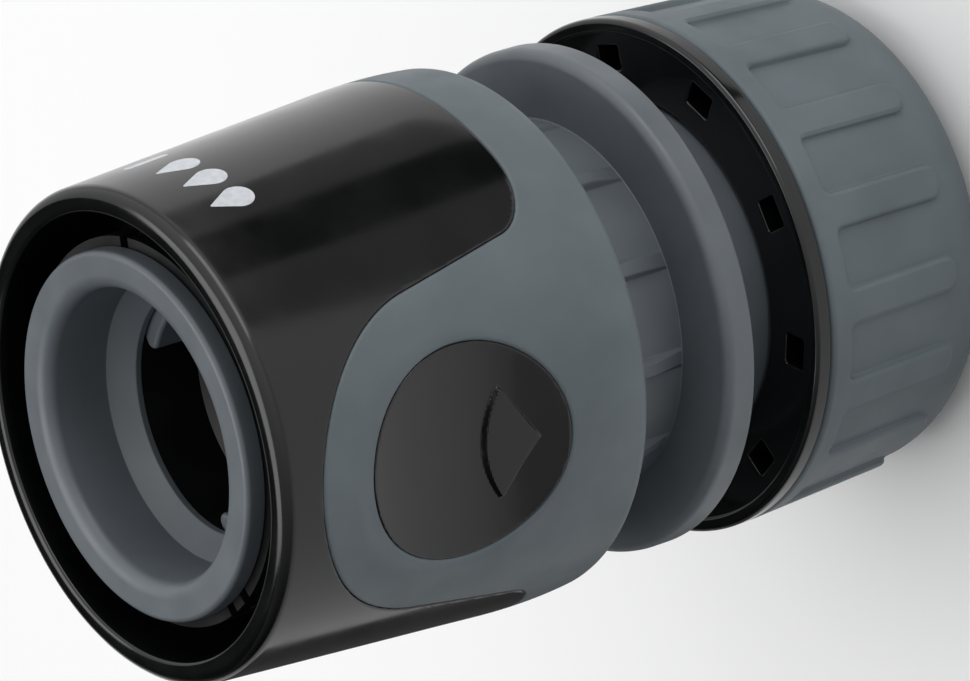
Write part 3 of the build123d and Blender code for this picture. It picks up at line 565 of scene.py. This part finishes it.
# Turned form with flat ribs: rise = height times an eased step of the depth inside a rib,
# where the depth is half the rib's width less the way round from its middle
def makeTailBody():
    t = tailBody
    outline = roundedOutline(t["corners"], evenSteps(t["step"]), t["arcPoints"])
    points, faces = turned(outline, steppedAngles(**t["angles"]))
    pitch = 2 * np.pi / t["ribs"]
    angle = np.arctan2(points[:, 1], points[:, 0])
    off = np.abs((angle + pitch / 2) % pitch - pitch / 2) * points[:, 2]
    share = np.clip((t["ribHalf"] - off) / t["ribEase"] / 2 + 0.5, 0, 1)
    onNeck = (points[:, 3] > t["ribbed"][0]) & (points[:, 3] < t["ribbed"][1])
    onNeck &= np.abs(points[:, 2] - t["neckRadius"]) < 0.01
    rise = np.where(onNeck, t["ribHeight"] * share * share * (3 - 2 * share), 0)
    makePiece("TailBody", placed(points, out=rise), faces, satinGreyAbs, "connector_body",
              "grey_body", "tail_body")


makeTailBody()

# Union nut, hard core: rim, pocketed face, bore for the thread and the cone for the grip ring
nutCore = dict(
    pockets=10, firstPocket=14, middle=16.0, half=(0.9, 1.15), corner=0.2, deep=4.0, edge=0.12,
    edgeFall=0.1, wall=0.08, wallFoot=0.06, face=18.4, fineReach=2.4, fineStep=0.15, step=3.0,
    angles=dict(first=14, repeats=10, reach=5.2, fine=0.45, coarse=1.3),
    corners=[
        (10.0, 0.0, 0.2), (13.2, 0.0, 0.15), (13.2, 1.0, 0.05), (16.98, 1.0, 3.6),
        (17.6, 17.5, 0.05), (18.9, 17.5, 0.2), (18.9, 18.8, 0.4), (17.95, 18.8, 0.2),
        (17.95, 18.4, 0.1), (13.3, 18.4, 0.25), (13.3, 5.6, 0.1), (12.4, 5.6, 0.1),
        (11.0, 1.4, 0.1), (10.0, 1.4, 0.2)])


# Depth inside the nearest pocket, a rounded box in its own turned frame
def pocketField(points):
    n = nutCore
    pitch = 2 * np.pi / n["pockets"]
    angle = np.arctan2(points[:, 1], points[:, 0]) - math.radians(n["firstPocket"])
    off = (angle + pitch / 2) % pitch - pitch / 2
    pastX = np.abs(points[:, 2] * np.cos(off) - n["middle"]) - n["half"][0]
    pastY = np.abs(points[:, 2] * np.sin(off)) - n["half"][1]
    depth = roundedBox(pastX, pastY, n["corner"])
    return np.where(np.abs(points[:, 3] - n["face"]) < 0.02, depth, -1)


# Steps along the nut's outline: short where the pockets are
def nutFaceSteps(radius, height):
    n = nutCore
    onFace = np.abs(height - n["face"]) < 0.01
    onFace &= np.abs(radius - n["middle"]) < n["fineReach"]
    return np.where(onFace, n["fineStep"], n["step"])


# Turned form whose front face rounds off towards each pocket, as the square of the way over its
# edge, and then drops to the pocket's floor over a steep wall
def makeNutCore():
    n = nutCore
    outline = roundedOutline(n["corners"], nutFaceSteps)
    points, faces = turned(outline, steppedAngles(**n["angles"]))
    for level in (-n["edge"], -n["edge"] / 4, 0.0, n["wall"], n["wall"] + n["wallFoot"]):
        points, faces = cut(points, faces, pocketField(points) - level)
    depth = pocketField(points)
    drop = n["edgeFall"] * np.clip(depth / n["edge"] + 1, 0, 1) ** 2
    drop += n["deep"] * np.clip(depth / n["wall"], 0, 1)
    makePiece("NutCore", placed(points, up=-drop), faces, polishedAbs, "union_nut", "black_shell",
              "nut_core")


makeNutCore()

# Union nut, soft grip: jacket round the rear edge, a raised band and ribs running back from it
nutGrip = dict(
    ribs=17, firstRib=-62.3, half=1.3, rise=0.5, rear=5.0, corner=1.0, band=(15.3, 17.3),
    ease=0.34, fillet=0.5, outsideRadius=17.0, coreRadius=17.4, fineStep=0.45, step=2.0,
    arcPoints=15, angles=400,
    corners=[(13.2, 0.2, 0.2), (17.58, 0.2, 4.3), (18.4, 17.5, 0.2), (17.6, 17.5, 0.05),
             (16.98, 1.0, 3.6), (13.2, 1.0, 0.05)])


# Depth inside the raised pattern: rounded bars on even azimuths, joined to the band
def ribField(points):
    g = nutGrip
    pitch = 2 * np.pi / g["ribs"]
    angle = np.arctan2(points[:, 1], points[:, 0]) - math.radians(g["firstRib"])
    off = np.abs((angle + pitch / 2) % pitch - pitch / 2) * points[:, 2]
    bar = roundedBox(off - g["half"], g["rear"] - points[:, 3], g["corner"])
    field = softUnion(bar, points[:, 3] - g["band"][0], g["fillet"])
    field = np.minimum(field, g["band"][1] - points[:, 3])
    facingOut = (points[:, 4] > 0.5) & (points[:, 2] > g["outsideRadius"])
    return np.where(facingOut, field, -1)


# Steps along the jacket's outline: short outside, where the pattern is
def jacketSteps(radius, height):
    return np.where(radius < nutGrip["coreRadius"], nutGrip["step"], nutGrip["fineStep"])


# Turned jacket with the pattern raised over a rounded shoulder: rise times sqrt(1 - (1 - t)2),
# where t is the way over the shoulder
def makeNutGrip():
    g = nutGrip
    outline = roundedOutline(g["corners"], jacketSteps, g["arcPoints"])
    points, faces = turned(outline, evenAngles(g["angles"]))
    for level in (0.0, g["ease"] / 10, g["ease"] / 3, g["ease"]):
        points, faces = cut(points, faces, ribField(points) - level)
    share = np.clip(ribField(points) / g["ease"], 0, 1)
    rise = g["rise"] * np.sqrt(np.maximum(1 - (1 - share) ** 2, 0))
    makePiece("NutGrip", placed(points, out=rise), faces, softGreyTpe, "union_nut", "soft_grip",
              "nut_grip")


makeNutGrip()
print("turned pieces made")

# Springs, one in the sleeve and one under the valve: open coils of round wire, built at rest.
# keep is the share of its height that is left when the slide is at its end
springs = dict(
    SleeveSpring=dict(
        radius=14.4, wire=1.1, foot=37.07, rise=11.36, turns=5, stepsPerTurn=48, sides=12,
        seat=36.5, keep=0.6, joint="sleeve_slide", node="sleeve_spring"),
    ValveSpring=dict(
        radius=5.9, wire=0.8, foot=25.02, rise=12.86, turns=7, stepsPerTurn=48, sides=12,
        seat=24.6, keep=0.634, joint="valve_slide", node="valve_spring"),
)


# Wire carried along a helix: middle = (R cos t, R sin t, foot + rise * t / its last value), and
# round it middle + w (cos a * outwards + sin a * across), where across is square to outwards and
# to the coil. Two fans close the ends
def makeSpring(name, s):
    steps, sides = s["stepsPerTurn"] * s["turns"] + 1, s["sides"]
    t = np.linspace(0, 2 * np.pi * s["turns"], steps)[:, None]
    outwards = np.hstack([np.cos(t), np.sin(t), 0 * t])
    middle = s["radius"] * outwards
    middle[:, 2:] = s["foot"] + s["rise"] * t / t[-1]
    climb = np.full_like(t, s["rise"] / t[-1, 0])
    along = np.hstack([-s["radius"] * np.sin(t), s["radius"] * np.cos(t), climb])
    along /= np.linalg.norm(along, axis=1)[:, None]
    across = np.cross(along, outwards)
    a = np.linspace(0, 2 * np.pi, sides, endpoint=False)[None, :, None]
    tube = middle[:, None] + s["wire"] / 2 * (
        np.cos(a) * outwards[:, None] + np.sin(a) * across[:, None])
    where = np.vstack([tube.reshape(-1, 3), middle[:1], middle[-1:]])
    i, j = np.meshgrid(np.arange(steps - 1), np.arange(sides), indexing="ij")
    near, beside = i * sides + j, i * sides + (j + 1) % sides
    quad = np.stack([near, beside, beside + sides, near + sides], 2).reshape(-1, 4)
    ring, last = np.arange(sides), (steps - 1) * sides
    ringNext = (ring + 1) % sides
    start = np.stack([np.full(sides, len(where) - 2), ringNext, ring], 1)
    end = np.stack([np.full(sides, len(where) - 1), last + ring, last + ringNext], 1)
    faces = np.vstack([quad[:, [0, 1, 2]], quad[:, [0, 2, 3]], start, end])
    spring = makePiece(name, where, faces, springWire, "connector_body", "spring_steel", s["node"])
    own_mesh(spring)


for name, look in springs.items():
    makeSpring(name, look)


# CAD solids that stay get their own materials
for node, material in dict(
    socket_body=satinBlackAbs, locking_claw_1=satinGreyAbs, locking_claw_2=satinGreyAbs,
    valve_plunger=satinBlackAbs, valve_seat=satinBlackAbs, valve_seal=sealRubber,
    body_seal=sealRubber, grip_ring=satinGreyAbs,
).items():
    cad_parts[node].data.materials.clear()
    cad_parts[node].data.materials.append(material)

# Studio: pale floor, a white sky that brightens evenly from the -X to the +X side, a soft light low
# on the +X side and one above the floor. Black and grey cards lie where only gloss rays see them:
# they paint dark reflections, dark lines, into the polished plastic and cast no shadow or shade
studio = dict(floorHalf=3.0, sky=(0.0, 1.2))
lights = dict(
    keyLight=dict(place=(440, -110, 95), size=(420, 180), power=0.52, aim=(0, 0, 35)),
    floorLight=dict(place=(-30, 110, 330), size=(300, 300), power=0.62, aim=(-30, 70, 0)),
)
# Cards seen only in gloss, each a tone and corners in mm: painted dark reflections
cards = dict(
    blackFloorCard=(0.002, [(34, -9, 2), (53, 6, 2), (142, 30, 2), (150, -34, 2)]),
    greyFloorCard=(0.3, [(62, -70, 1), (76, 44, 1), (130, 76, 1), (150, -95, 1)]),
    lowFloorCard=(0.05, [(-20, 32, 1), (-50, 160, 1), (-190, 40, 1), (-45, -8, 1)]),
    backCard=(0.002, [(-320, 120, 120), (-60, 420, 120), (20, 250, 400), (-230, 10, 400)]),
)


# Flat card from its corners
def flatCard(name, corners, material):
    mesh = bpy.data.meshes.new(name)
    mesh.from_pydata([Vector(corner) * mm for corner in corners], [], [tuple(range(len(corners)))])
    mesh.materials.append(material)
    card = bpy.data.objects.new(name, mesh)
    bpy.context.collection.objects.link(card)
    return card


# Matt white floor card, with a tone that wanders very slightly
def paleCard():
    material, tree, shader, place = startMaterial("PaleCard")
    tones = addNode(tree, "ShaderNodeTexNoise", {"Vector": place}, {"Scale": 1 / (900 * mm)})
    colour = addNode(tree, "ShaderNodeMix", {0: tones.outputs["Fac"]},
                     {6: linear("#f4f4f4"), 7: linear("#f8f8f8")}, data_type="RGBA")
    tree.links.new(colour.outputs[2], shader.inputs["Base Color"])
    shader.inputs["Roughness"].default_value = 0.85
    return material


# Card seen only in reflections, black or grey: its tone is a painted dark reflection
def reflectionOnlyMaterial(name, tone):
    material, _, shader, _ = startMaterial(name)
    shader.inputs["Base Color"].default_value = (tone, tone, tone, 1)
    shader.inputs["Roughness"].default_value = 1.0
    return material


# Rectangular area light turned to the connector
def softLight(name, look):
    light = bpy.data.lights.new(name, "AREA")
    light.shape = "RECTANGLE"
    light.size, light.size_y = look["size"][0] * mm, look["size"][1] * mm
    light.energy = look["power"]
    lamp = bpy.data.objects.new(name, light)
    bpy.context.collection.objects.link(lamp)
    lamp.location = Vector(look["place"]) * mm
    toward = Vector(look["aim"]) - Vector(look["place"])
    lamp.rotation_euler = toward.to_track_quat("-Z", "Y").to_euler()


half = studio["floorHalf"] / mm
floorCorners = [(-half, -half, 0), (half, -half, 0), (half, half, 0), (-half, half, 0)]
flatCard("Floor", floorCorners, paleCard())
for name, (tone, corners) in cards.items():
    card = flatCard(name, corners, reflectionOnlyMaterial(name + "PaintedReflection", tone))
    # Hidden from the camera, from diffuse light and from shadows, so each card shows only as a
    # painted dark reflection
    card.visible_camera = card.visible_diffuse = card.visible_shadow = False
for name, look in lights.items():
    softLight(name, look)

world = bpy.data.worlds.new("Studio")
bpy.context.scene.world = world
world.use_nodes = True
sky = world.node_tree
axes = addNode(sky, "ShaderNodeSeparateXYZ",
               {"Vector": addNode(sky, "ShaderNodeTexCoord").outputs["Generated"]})
shade = addNode(sky, "ShaderNodeMapRange", {"Value": axes.outputs["X"]},
                {"From Min": -1.0, "To Min": studio["sky"][0], "To Max": studio["sky"][1]})
sky.links.new(shade.outputs["Result"], sky.nodes["Background"].inputs["Strength"])
sky.nodes["Background"].inputs["Color"].default_value = linear("#ffffff")
bpy.context.scene.view_settings.view_transform = "Standard"

# Camera, fitted to the circles of the mouth, the disc and the nut in the photograph
photoCamera = dict(place=(164.85, -331.15, 290.97), right=(-0.0258, -0.6220, -0.7826),
                   back=(0.3676, -0.7340, 0.5712), lens=238.4)
camera = bpy.data.objects.new("Camera", bpy.data.cameras.new("Camera"))
bpy.context.collection.objects.link(camera)
camera.data.lens = photoCamera["lens"]
camera.data.sensor_width = 36
camera.data.clip_start = 0.01
right, back = Vector(photoCamera["right"]), Vector(photoCamera["back"])
back.normalize()
right = (right - back * right.dot(back)).normalized()
facing = Matrix([right, back.cross(right), back]).transposed()
camera.matrix_world = Matrix.Translation(Vector(photoCamera["place"]) * mm) @ facing.to_4x4()
bpy.context.scene.camera = camera
print("studio and camera made")

bpy.context.view_layer.update()
